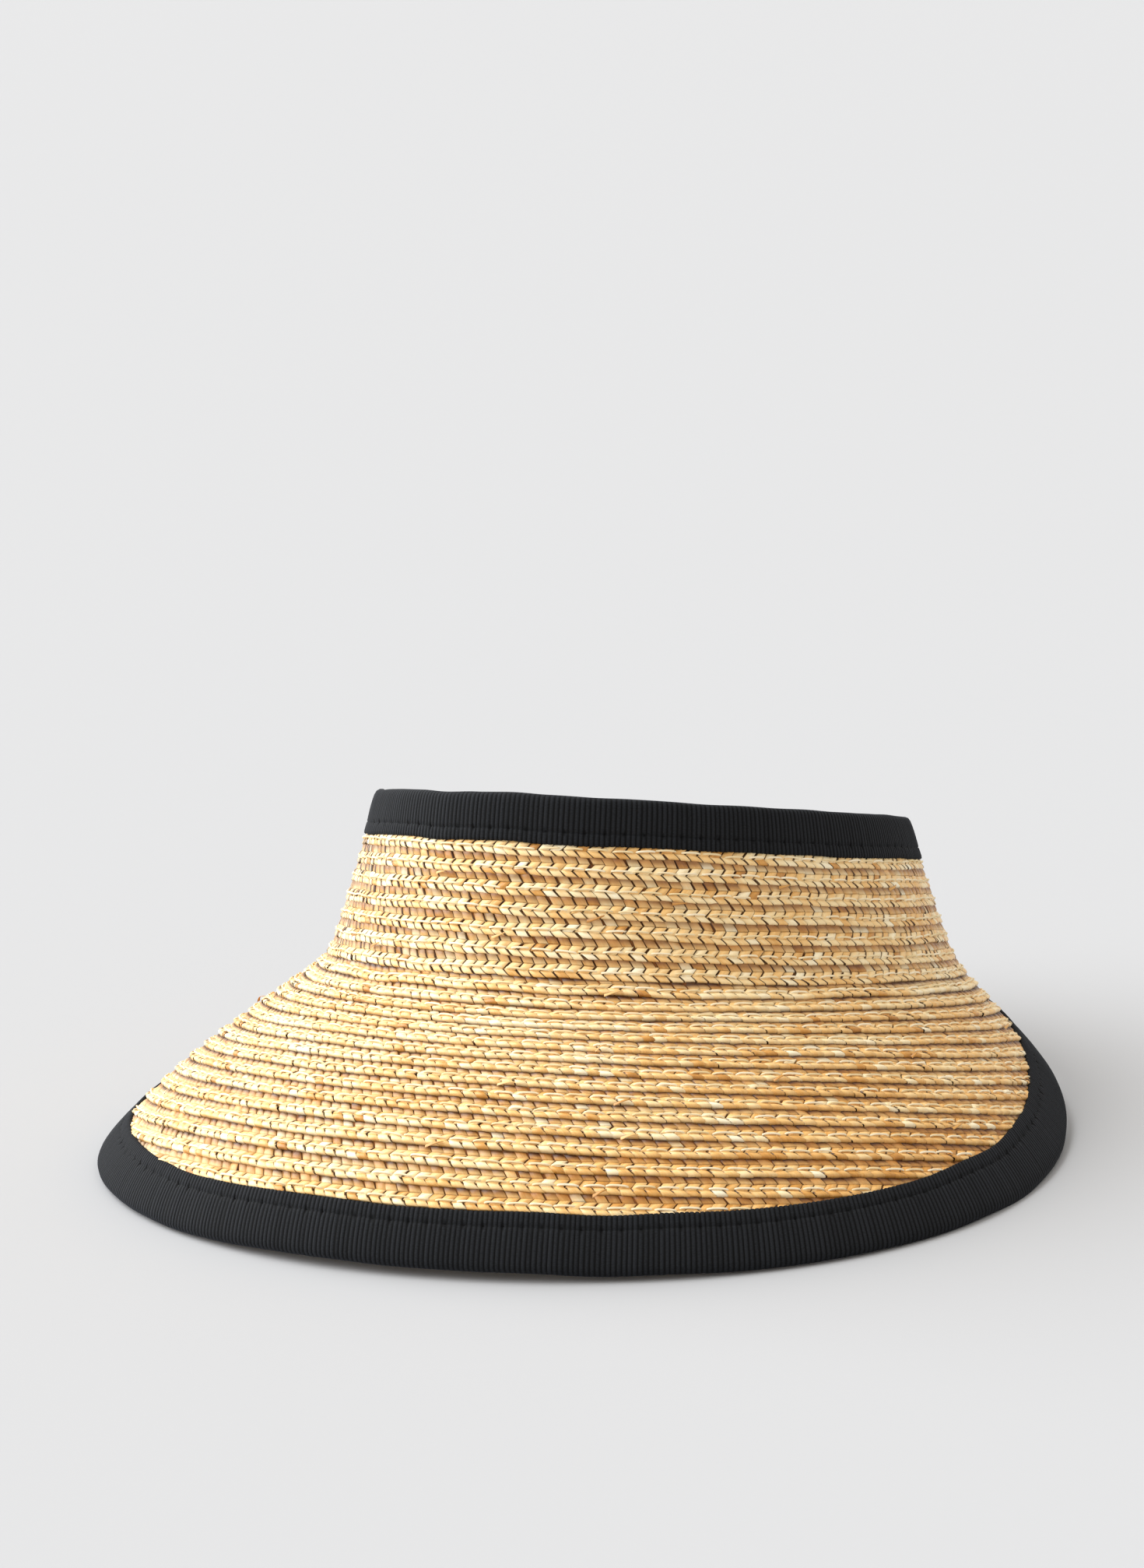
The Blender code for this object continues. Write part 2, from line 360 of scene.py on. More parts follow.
def cloudy(turn, depth):
    """Slow drift of the straw's tone over the wall, above 0 for paler: a few crossing waves.

    The crown is bleached a little, and the brim is darker towards its edge, more so on the right,
    the side away from the light: painted shade.
    """
    # Waves: how many round the head, how fast they slant with the depth, and where they start
    waves = ((3, 160.0, 0.4), (7, -95.0, 2.1), (11, 210.0, 4.0), (19, -330.0, 5.2), (4, 420.0, 1.3))
    ripples = sum(np.sin(n * turn + k * depth + phase) for n, k, phase in waves) / 2.2
    # Painted shade: darker towards the brim's edge, and more on the right, away from the light
    darker_edge_and_right_shade = smooth(0.05, 0.13, depth) * np.maximum(1.3 + 2.4 * np.sin(turn), 0.6)
    return ripples + 0.7 - darker_edge_and_right_shade


class Patches:
    """Many small grids gathered into one mesh, with marks and maps for its material.

    A point's marks are its splint's tint, its painted shade below the row above, and its painted
    shade in creases, under the folded edge and where rows lap. Its map "along" is in millimetres,
    so that patterns keep their real size.
    """

    def __init__(self):
        self.points = []
        self.faces = []
        self.marks = []
        self.uvs = []
        self.spots = []
        self.total = 0

    def add(self, points, marks, uvs, spots=None):
        """Grids of points by patch, column and line; columns run right and lines run up.

        The spots are places on the patch itself, from 0 to 1 across and along.
        """
        patches, columns, lines = points.shape[:3]
        number = np.arange(patches * columns * lines).reshape(patches, columns, lines) + self.total
        corners = [number[:, :-1, :-1], number[:, 1:, :-1], number[:, 1:, 1:], number[:, :-1, 1:]]
        self.faces.append(np.stack(corners, axis=-1).reshape(-1, 4))
        self.points.append(points.reshape(-1, 3))
        self.marks.append(marks.reshape(-1, 3))
        self.uvs.append(uvs.reshape(-1, 2))
        self.spots.append((np.full_like(uvs, 0.5) if spots is None else spots).reshape(-1, 2))
        self.total += number.size

    def build(self, name, slot, material, stands_for=()):
        """The mesh object, riding on the visor."""
        if not self.points:
            raise RuntimeError(name + " has nothing in it")
        maps = {"along": np.concatenate(self.uvs), "spot": np.concatenate(self.spots)}
        return add_mesh(name, np.concatenate(self.points), np.concatenate(self.faces),
                        material, stands_for, np.concatenate(self.marks), maps)


def add_mesh(name, points, faces, material, stands_for=(), marks=None, maps=()):
    """A smooth mesh of quads with its marks and UV maps, riding on the visor."""
    if not np.isfinite(points).all():
        raise RuntimeError(name + " has a point that is not finite")
    mesh = bpy.data.meshes.new(name)
    mesh.vertices.add(len(points))
    mesh.vertices.foreach_set("co", np.ascontiguousarray(points, dtype=np.float32).ravel())
    mesh.loops.add(faces.size)
    mesh.loops.foreach_set("vertex_index", faces.astype(np.int32).ravel())
    mesh.polygons.add(len(faces))
    mesh.polygons.foreach_set("loop_start", np.arange(0, faces.size, 4, dtype=np.int32))
    mesh.polygons.foreach_set("use_smooth", np.ones(len(faces), dtype=bool))
    mesh.update(calc_edges=True)
    if marks is not None:
        layer = mesh.attributes.new("marks", "FLOAT_COLOR", "POINT")
        colours = np.concatenate([marks, np.ones((len(marks), 1))], axis=1)
        layer.data.foreach_set("color", colours.astype(np.float32).ravel())
    for map_name, uvs in dict(maps).items():
        layer = mesh.uv_layers.new(name=map_name)
        layer.data.foreach_set("uv", uvs[faces.ravel()].astype(np.float32).ravel())
    mesh.materials.append(material)
    if mesh.validate():
        raise RuntimeError(name + " has faces that Blender had to mend")
    piece = bpy.data.objects.new(name, mesh)
    bpy.context.scene.collection.objects.link(piece)
    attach(piece, "root")
    if stands_for:
        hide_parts(*stands_for)
    return piece


def hoop_faces(columns, lines):
    """Quads of a grid that closes both ways: columns round the hoop, lines round its section."""
    column = np.arange(columns)[:, None]
    line = np.arange(lines)[None, :]
    right = (column + 1) % columns
    above = (line + 1) % lines
    corners = [column * lines + line, right * lines + line, right * lines + above,
               column * lines + above]
    return np.stack(np.broadcast_arrays(*corners), axis=-1).reshape(-1, 4)


def under_ribbon(wall, turn, depth, brim):
    """How far a point is tucked under the nearest ribbon, down or up the wall; below 0 outside."""
    shape = wall.shape
    if brim:
        return depth - (wall.brim_edge(turn) - shape.brim_binding * wall.edge_skew(turn))
    return shape.crown_binding - depth


# Grid of a splint: places across it, and how much of its puff its face has there
ACROSS = np.array([-1.0, -0.80, 0.0, 0.80, 1.0])
FACE_ACROSS = np.array([0.0, 0.86, 1.0, 0.90, 0.0])
# Places up a splint, the share of its puff there, and how deep the grooves beside it are
FOLDED_UP = np.array([0.0, 0.08, 0.20, 0.52, 0.84, 1.0])
FOLDED_FACE = np.array([-0.85, 0.35, 0.90, 1.0, 0.70, 0.0])
FOLDED_GROOVE = np.array([0.20, 0.22, 0.30, 0.75, 1.0, 1.0])
FLAT_UP = np.array([0.0, 0.14, 0.50, 0.86, 1.0])
FLAT_FACE = np.array([0.0, 0.85, 1.0, 0.85, 0.0])
FLAT_GROOVE = np.ones(5)
# Grid lines that splints inside and below keep, where nobody looks closely
FEW_LINES = [0, 1, 3, 4]

# Kinds of splint in a row, from its lower edge up. Lean is in parts of the plait's own on the
# brim and on the crown, base lifts the whole face, and tint is the kind's mean, lower for the
# strips as painted shade under the row above
KINDS = {
    "rope": {"brim_lean": -0.90, "crown_lean": -1.15, "base": 0.0, "tint": 0.60},
    "lozenge": {"brim_lean": 1.0, "crown_lean": 1.0, "base": 0.0, "tint": 0.54},
    "strip": {"brim_lean": -1.0, "crown_lean": -1.0, "base": 0.12 * MM, "tint": 0.48},
}
STRIP_PUFF = 0.9

# How uneven the plait is. Shift, drift and width are in pitches, the others in parts of the
# value that they vary, and waver is a length
UNEVEN = {"shift": 0.04, "drift": 0.05, "width": 0.022, "puff": 0.15, "tilt": 1.3, "pitch": 1.5,
          "twist": 0.10, "waver": 0.08 * MM, "lean": 0.10}
HALF_WIDTH = 0.525
LEAST_TILT = 0.5

# How far a face is pressed down under a ribbon, outside and inside, and from how far in
PRESSED_OUTER = 0.30 * MM
PRESSED_INNER = -1.65 * MM
PRESSED_FROM = 0.2 * MM
INNER_SEED = 500
# Splints this far under a ribbon are left out
HIDDEN_FROM = 3.0 * MM

BLEACHED_TINT = (0.74, 0.98)
WEATHERED_TINT = (0.15, 0.32)
WEATHERED_SHARE = 0.035


def splint_span(kind, height, looks):
    """Lower and upper ends of a kind of splint above the row's lower edge.

    The folded edge comes first, then lozenges up to the middle of what is left, then strips that
    run on under the row above. Each reaches a little under the next.
    """
    fold = looks.rope
    middle = fold + 0.50 * (height - fold)
    spans = {
        "rope": (-0.15 * MM, fold + 0.35 * MM),
        "lozenge": (fold - 0.45 * MM, middle + 0.20 * MM),
        "strip": (middle - 0.20 * MM, height + 1.3 * MM),
    }
    low, high = spans[kind]
    return low + 0.0 * height, high + 0.0 * height


def splint_tints(rng, row, centre, drift, flat, mean):
    """Tint of each splint, from 0 for weathered to 1 for bleached.

    The kind's mean, plus chance, plus the drift along the row, plus the clouds over the wall. A
    few splints are bleached or weathered outright.
    """
    count = len(centre)
    turn = np.interp(centre, row.run, row.turn)
    spread = 0.06 if flat else 0.09
    bleached_share = 0.04 if flat else 0.08
    tint = mean + spread * rng.normal(size=count) + 0.05 * drift + 0.06 * cloudy(turn, row.edge(turn))
    tint = np.clip(tint, 0.02, 0.98)
    bleached = rng.random(count) < bleached_share
    tint = np.where(bleached, rng.uniform(*BLEACHED_TINT, count), tint)
    weathered = rng.random(count) < WEATHERED_SHARE
    return np.where(weathered, rng.uniform(*WEATHERED_TINT, count), tint)


def splints(patches, row, looks, kind, brim, seed, inner=False):
    """Adds one kind of splint of a row to patches.

    A splint is a flat facet on a small grid: its height is the facet's share across times its
    share along, and where either falls to 0 at the rim of the grid the splint dives below its
    neighbours. It leans along the row, and its right side lies over the next splint's left.
    """
    rng = np.random.default_rng(seed)
    folded = kind == "rope"
    flat = brim and not folded
    count = max(int(round(row.length / looks.pitch)), 8)
    pitch = row.length / count
    across, face_across = ACROSS, FACE_ACROSS
    along, face_along, groove = FLAT_UP, FLAT_FACE, FLAT_GROOVE
    if folded:
        along, face_along, groove = FOLDED_UP, FOLDED_FACE, FOLDED_GROOVE
    if inner:
        across, face_across = across[FEW_LINES], face_across[FEW_LINES]
        along, face_along, groove = along[FEW_LINES], face_along[FEW_LINES], groove[FEW_LINES]
    drift = smooth_random(rng, count, max(count // 9, 4))
    shift = pitch * (UNEVEN["shift"] * rng.normal(size=count) + UNEVEN["drift"] * drift)
    width = pitch * (HALF_WIDTH + UNEVEN["width"] * rng.normal(size=count))
    centre = (np.arange(count) + 0.5) * pitch + shift
    height = row.height(np.interp(centre, row.run, row.turn))
    low, high = splint_span(kind, height, looks)
    lean = KINDS[kind]["brim_lean" if brim else "crown_lean"] * looks.lean
    puff = {"rope": looks.rope_puff, "lozenge": looks.puff, "strip": looks.puff * STRIP_PUFF}[kind]
    if folded and not brim:
        puff = puff * looks.crown_press
    puff = puff * (1.0 + UNEVEN["puff"] * rng.normal(size=count).clip(-2.0, 2.0))
    tilt = looks.tilt * (LEAST_TILT + UNEVEN["tilt"] * rng.normal(size=count))
    pitching = looks.tilt * UNEVEN["pitch"] * rng.normal(size=count)
    twist = UNEVEN["twist"] * rng.normal(size=count)
    waver = UNEVEN["waver"] * rng.normal(size=count)
    # Grids by splint, column and line
    each = (slice(None), None, None)
    s = across[None, :, None]
    t = along[None, None, :]
    open_here = groove[None, None, :]
    up = low[each] + (high - low)[each] * t + waver[each]
    facet = (1.0 - (1.0 - face_across[None, :, None]) * open_here) * face_along[None, None, :]
    slope = (t - 0.5) * lean * (1.0 + UNEVEN["lean"] * rng.normal(size=count)[each])
    position = centre[each] + s * width[each] * (1.0 + twist[each] * (t - 0.5)) + slope
    lift = KINDS[kind]["base"] + puff[each] * facet - looks.dive * (1.0 - facet)
    lift = lift + tilt[each] * s + pitching[each] * (t - 0.5) * (0.2 if folded else 1.0)
    turn, depth, lift = row.lay(position, up, lift, inner)
    covered = under_ribbon(row.wall, turn, depth, brim)
    pressed = np.maximum(lift, PRESSED_INNER) if inner else np.minimum(lift, PRESSED_OUTER)
    lift = np.where(covered > PRESSED_FROM, pressed, lift)
    points = row.wall.place(turn, depth, lift)
    # Painted shade, with some dust, darkens the straw between splints, under the folded edge and
    # where rows lap
    crease_shade = smooth(0.80, 0.97, np.abs(s)) * open_here * (0.4 if flat else 1.0)
    # Painted shade on the underside of the folded edge
    foot = 0.9 * smooth(0.5, -0.2, face_along)[None, None, :] * (t < 0.5)
    crease_shade = np.maximum(crease_shade, foot)
    shade = 0.0 * up
    if kind == "strip":
        below_row = up - height[each]
        # Painted shade: a dark line where a strip runs under the row above, darker towards its lower
        # end
        lapped_shade = (1.0 if brim else 0.7) * smooth(-0.80 * MM, -0.42 * MM, below_row)
        crease_shade = np.maximum(np.maximum(crease_shade, lapped_shade), 0.25 * (1.0 - t) ** 3)
        # Painted shade below the row above, turned warm orange in the material
        shade = 0.45 * smooth(-1.5 * MM, -0.3 * MM, below_row)
    tint = splint_tints(rng, row, centre, drift, flat, KINDS[kind]["tint"])
    grain = rng.random(count)
    # Each splint reads its own stretch of the fibre pattern
    u = (s * 0.5 + 0.5) * 2.0 * width[each] / MM + 37.0 * grain[each]
    v = t * (high - low)[each] / MM + 91.0 * grain[each]
    # The painted shade of the slits ends half way down the brim's folded edges, and hardly shows
    # between its flat splints
    slit_x = 0.5 + s * (0.455 if flat else 0.5)
    slit_y = t if brim and folded else 0.5 + 0.5 * t

    def stacked(*values):
        return np.stack([np.broadcast_to(value, position.shape) for value in values], axis=-1)

    grids = [points, stacked(tint[each], shade, crease_shade), stacked(u, v), stacked(slit_x, slit_y)]
    if inner:
        grids = [grid[:, ::-1] for grid in grids]
    keep = (covered < HIDDEN_FROM).any(axis=(1, 2))
    if keep.any():
        patches.add(*[grid[keep] for grid in grids])


def plait_rows(looks, rows, brim, seed):
    """Patches of rows plaited on the outer face and, with fewer lines, on the inner one."""
    outer = Patches()
    inner = Patches()
    for k, row in rows:
        for j, kind in enumerate(("strip", "lozenge", "rope")):
            splints(outer, row, looks, kind, brim, seed + 10 * k + j)
        for j, kind in enumerate(("strip", "lozenge")):
            splints(inner, row, looks, kind, brim, seed + INNER_SEED + 10 * k + j, inner=True)
    return outer, inner


def tubes(patches, paths, radius, sides, grain):
    """Adds tubes carried along paths: rings of points, drawn in almost to a point at both ends.

    A ring is the path's point plus the radius times cosine and sine on two directions that are
    square to the path.
    """
    along = np.gradient(paths, axis=1)
    along /= np.linalg.norm(along, axis=-1, keepdims=True)
    out = np.array([0.0, 0.0, 1.0]) + 0.0 * along
    side = np.cross(along, out)
    side /= np.linalg.norm(side, axis=-1, keepdims=True) + 1e-12
    out = np.cross(side, along)
    angle = np.linspace(0.0, FULL_TURN, sides + 1)
    rings = paths.shape[1]
    taper = np.ones(rings)
    taper[[0, -1]] = 0.05
    size = radius * taper[None, None, :, None]
    points = paths[:, None, :, :] + size * (
        np.cos(angle)[None, :, None, None] * out[:, None, :, :]
        + np.sin(angle)[None, :, None, None] * side[:, None, :, :])
    shape = points.shape[:3]
    marks = np.zeros(shape + (3,))
    marks[..., 0] = grain[:, None, None]
    marks[..., 1] = grain[:, None, None]
    run = np.linspace(0.0, rings - 1.0, rings)[None, None, :] + 17.0 * grain[:, None, None]
    uvs = np.stack([np.broadcast_to(angle[None, :, None], shape), np.broadcast_to(run, shape)], -1)
    patches.add(points[:, ::-1], marks[:, ::-1], uvs[:, ::-1])


# A stitch: points along it, its length in pitches, how far its ends sink and its middle stands
# out of the straw, and how far it lies above the folded edge at its ends and more in the middle
STITCH_POINTS = 11
STITCH_SHARE = 0.95
STITCH_SINK = -0.60 * MM
STITCH_RISE = 1.40 * MM
STITCH_UP = 0.32 * MM
STITCH_ARCH = 0.20 * MM
THREAD_SIDES = 5


def stitches(patches, row, looks, brim, seed):
    """Adds a row's sewing stitches: long shallow arcs that dive into the straw at both ends.

    The places along a stitch are a sine of equal steps, close together at its ends, and its
    height is 1 less the sixth power of the place, so it is flat but for its ends.
    """
    rng = np.random.default_rng(seed)
    count = max(int(round(row.length / looks.stitch)), 6)
    pitch = row.length / count
    share = 0.5 * np.sin(np.linspace(-0.5, 0.5, STITCH_POINTS) * math.pi)
    centre = (np.arange(count) + 0.5) * pitch + 0.3 * MM * rng.normal(size=count)
    size = pitch * (STITCH_SHARE + 0.04 * rng.normal(size=count))
    position = centre[:, None] + share[None, :] * size[:, None]
    bow = 1.0 - (2.0 * share) ** 6
    rise = 0.10 * MM * rng.normal(size=(count, 1))
    slant = 0.18 * MM * rng.normal(size=(count, 1))
    arch = STITCH_ARCH * (1.0 - (2.0 * share[None, :]) ** 2)
    up = looks.rope + STITCH_UP + arch + rise + slant * share[None, :]
    lift = STITCH_SINK + bow[None, :] * (STITCH_RISE + 0.06 * MM * rng.normal(size=(count, 1)))
    turn, depth, lift = row.lay(position, up, lift)
    covered = under_ribbon(row.wall, turn, depth, brim)
    keep = (covered < 0.6 * MM).all(axis=1)
    paths = row.wall.place(turn, depth, lift)[keep]
    if keep.any():
        tubes(patches, paths, looks.thread, THREAD_SIDES, rng.random(count)[keep])


def loose_ends(patches, places, seed):
    """Adds splint ends that slipped out of the plait: flat strips that curl off the wall.

    A place is a row, whether it is on the brim, a turn and a length along the row. The strip
    climbs with a power of the share along it, narrows, and bows off the wall by part of a sine.
    """
    rng = np.random.default_rng(seed)
    half_width = 0.55 * MM
    for row, brim, turn_at, span in places:
        start = np.interp(turn_at, row.turn, row.run)
        t = np.linspace(0.0, 1.0, 8)[None, None, :]
        s = np.linspace(-1.0, 1.0, 4)[None, :, None]
        position = start + span * t * (0.86 + 0.05 * rng.normal()) + 0.0 * s
        climb = 2.6 * MM * rng.uniform(0.2, 1.0) * t ** 1.4
        up = -0.3 * MM + climb + s * half_width * (1.0 - 0.6 * t)
        bow = 1.5 * MM * np.sin(np.pi * t * 0.75) * rng.uniform(0.5, 1.0)
        lift = 0.45 * MM + bow + 0.15 * MM * (1.0 - s * s)
        turn, depth, lift = row.lay(position, up - 0.5 * MM, lift)
        if (under_ribbon(row.wall, turn, depth, brim) > -0.5 * MM).any():
            continue
        points = row.wall.place(turn, depth, lift)
        shape = points.shape[:3]
        marks = np.zeros(points.shape)
        marks[..., 0] = rng.uniform(0.15, 0.55)
        marks[..., 2] = 0.5 * np.abs(s) ** 2 + 0.0 * t
        uvs = np.stack([np.broadcast_to(s, shape), np.broadcast_to(t * 8.0, shape)], -1)
        patches.add(points, marks, uvs)


# Section of a folded ribbon, from its outer straw side over the fold to its inner straw side.
# Columns: share of the width in from the edge, lift off the wall in mm, share of a rib's height
# that it keeps, and the side that it faces, 1 for outwards and -1 for inwards
RIBBON_SECTION = np.array([
    (1.000, 0.10, 0.00, 1.0),
    (1.000, 0.55, 0.80, 1.0),
    (0.985, 0.86, 1.00, 1.0),
    (0.930, 1.00, 1.00, 1.0),
    (0.840, 1.02, 1.00, 1.0),
    (0.765, 0.96, 0.80, 1.0),
    (0.745, 0.78, 0.25, 1.0),
    (0.725, 0.96, 0.80, 1.0),
    (0.650, 1.12, 1.00, 1.0),
    (0.500, 1.24, 1.00, 1.0),
    (0.360, 1.30, 1.00, 1.0),
    (0.230, 1.28, 1.00, 1.0),
    (0.130, 1.18, 1.00, 1.0),
    (0.055, 0.92, 0.90, 0.8),
    (0.005, 0.20, 0.75, 0.3),
    (-0.015, -0.75, 0.65, 0.0),
    (0.005, -1.70, 0.75, -0.5),
    (0.055, -2.35, 0.90, -0.9),
    (0.150, -2.55, 1.00, -1.0),
    (0.500, -2.55, 1.00, -1.0),
    (0.700, -2.45, 0.90, -1.0),
    (0.745, -2.28, 0.30, -1.0),
    (0.800, -2.42, 0.90, -1.0),
    (0.970, -2.40, 1.00, -1.0),
    (1.000, -1.75, 0.40, -1.0),
])
STITCH_LINE = 0.745
# Places along a rib, and its height there
RIB_PHASE = np.array([0.0, 0.17, 0.5, 0.83])
RIB_WAVE = np.array([0.0, 0.72, 1.0, 0.72])


def ribbon(wall, looks, brim, seed):
    """Points, faces, marks and map of a grosgrain ribbon folded over an edge.

    Its U-shaped section is carried round the edge. Its outer and inner faces carry cross ribs,
    raised by a rounded wave along the edge, and are pressed down at the row of stitches by a
    bell curve across the line times a pulse at each stitch's end.
    """
    rng = np.random.default_rng(seed)
    shape = wall.shape
    width = shape.brim_binding if brim else shape.crown_binding
    table_turn = np.linspace(-math.pi, math.pi, 2881)
    edge = wall.brim_edge(table_turn) if brim else 0.0 * table_turn
    path = wall.place(table_turn, edge, 0.0 * table_turn)
    run = np.concatenate([[0.0], np.cumsum(np.linalg.norm(np.diff(path, axis=0), axis=1))])
    ribs = int(round(run[-1] / looks.rib))
    jitter = 0.03 * rng.normal(size=ribs)
    count = np.arange(ribs)[:, None] + RIB_PHASE[None, :] + jitter[:, None]
    along = count.ravel() * run[-1] / ribs
    turn = np.interp(along, run, table_turn)
    rib = np.tile(RIB_WAVE, ribs)
    strength = np.repeat(1.0 + 0.05 * rng.normal(size=ribs), len(RIB_WAVE))
    columns = len(turn)
    share, lift, press, side = RIBBON_SECTION.T
    slow = smooth_random(rng, columns, 46)
    slower = smooth_random(rng, columns, 23)
    # The straw side follows the ribs' ends, and the fold is a little uneven
    scallop = 0.16 * MM * (rib - 0.5)
    straw_side = np.clip((share - 0.75) / 0.25, 0.0, 1.0)
    fold_side = np.clip(1.0 - share / 0.15, 0.0, 1.0)
    inwards = share[None, :] * (width + 0.22 * MM * slow)[:, None]
    inwards = inwards + straw_side[None, :] * scallop[:, None]
    inwards = inwards + fold_side[None, :] * MM * (0.10 * slower + 0.16 * slow)[:, None]
    stitched = np.abs(((along / looks.stitch) % 1.0) - 0.5) * 2.0
    dimple = smooth(0.72, 0.98, stitched)
    near_line = np.exp(-((share - STITCH_LINE) / 0.03) ** 2)
    dent = (0.30 * MM * dimple - 0.16 * MM * (1 - dimple))[:, None]
    height = (looks.rib_height * strength * rib)[:, None]
    off = lift[None, :] * MM + side[None, :] * press[None, :] * height
    off = off - side[None, :] * near_line[None, :] * dent + side[None, :] * 0.06 * MM * slow[:, None]
    depth = inwards
    if brim:
        depth = wall.brim_edge(turn)[:, None] - inwards * wall.edge_skew(turn)[:, None]
    points = wall.place(np.broadcast_to(turn[:, None], depth.shape), depth, off)
    # Pressed flat where it rests on the floor
    points[..., 2] = np.maximum(points[..., 2], 0.0)
    faces = hoop_faces(*depth.shape)
    if not brim:
        faces = faces[:, ::-1]
    marks = np.zeros(depth.shape + (3,))
    # Marks: rib height, painted as light on the crests, and painted shade along the line of stitches
    marks[..., 0] = (rib * strength)[:, None]
    marks[..., 1] = 0.42 * near_line[None, :] * (0.15 + 0.85 * dimple)[:, None]
    uvs = np.stack([np.broadcast_to(along[:, None] / MM, depth.shape), inwards / MM], axis=-1)
    return points.reshape(-1, 3), faces, marks.reshape(-1, 3), uvs.reshape(-1, 2)


def backing(wall):
    """Points and faces of the straw behind the splints: a closed shell down the wall.

    Its section runs down a line just below the outer face and back up another above the inner
    face, from under one ribbon to under the other.
    """
    turn = np.linspace(-math.pi, math.pi, 361)[:-1]
    share = np.linspace(0.0, 1.0, 56)
    top = 1.5 * MM
    bottom = wall.brim_edge(turn) - 1.5 * MM
    down = top + (bottom - top)[:, None] * share[None, :]
    turns = np.broadcast_to(turn[:, None], down.shape)
    outer = wall.place(turns, down, 0.0 * down - 0.42 * MM)
    inner = wall.place(turns, down, 0.0 * down - 0.95 * MM)
    points = np.concatenate([outer, inner[:, ::-1]], axis=1)
    return points.reshape(-1, 3), hoop_faces(*points.shape[:2])[:, [0, 3, 2, 1]]


def node(tree, kind, settings=(), links=(), stops=()):
    """Adds a node, or takes the shader, sets its values by attribute or input and links its inputs.

    A link comes from a socket, or from a node's first output. The stops of a colour ramp are
    pairs of place and colour, in rising order.
    """
    made = tree.nodes[SHADER] if kind == SHADER else tree.nodes.new("ShaderNode" + kind)
    for key, value in dict(settings).items():
        if isinstance(key, int) or key in made.inputs:
            made.inputs[key].default_value = value
        else:
            setattr(made, key, value)
    for key, source in dict(links).items():
        socket = source.outputs[0] if isinstance(source, bpy.types.Node) else source
        tree.links.new(socket, made.inputs[key])
    for number, (place, shade) in enumerate(stops):
        elements = made.color_ramp.elements
        element = elements[number] if number < 2 else elements.new(place)
        element.position = place
        element.color = shade
    return made


def new_surface(name):
    """A new material and its node tree."""
    material = bpy.data.materials.new(name)
    material.use_nodes = True
    return material, material.node_tree


def made_of(make, looks):
    """The material that a function makes, made once and found again by the function's name."""
    return bpy.data.materials.get(make.__name__) or make(looks)


SHADER = "Principled BSDF"
# Straw fibres across and along a splint, drawn some five times coarser than real to show
FIBRE_MM = (0.25, 6.25)
# Stains on a splint, across and along it
STAIN_MM = (2.0, 2.86)
# The painted shade of the slit beside a splint: where it starts and is full, in widths from the
# splint's middle and in lengths up the splint
SLIT = (0.37, 0.44)
UPPER = (0.38, 0.55)


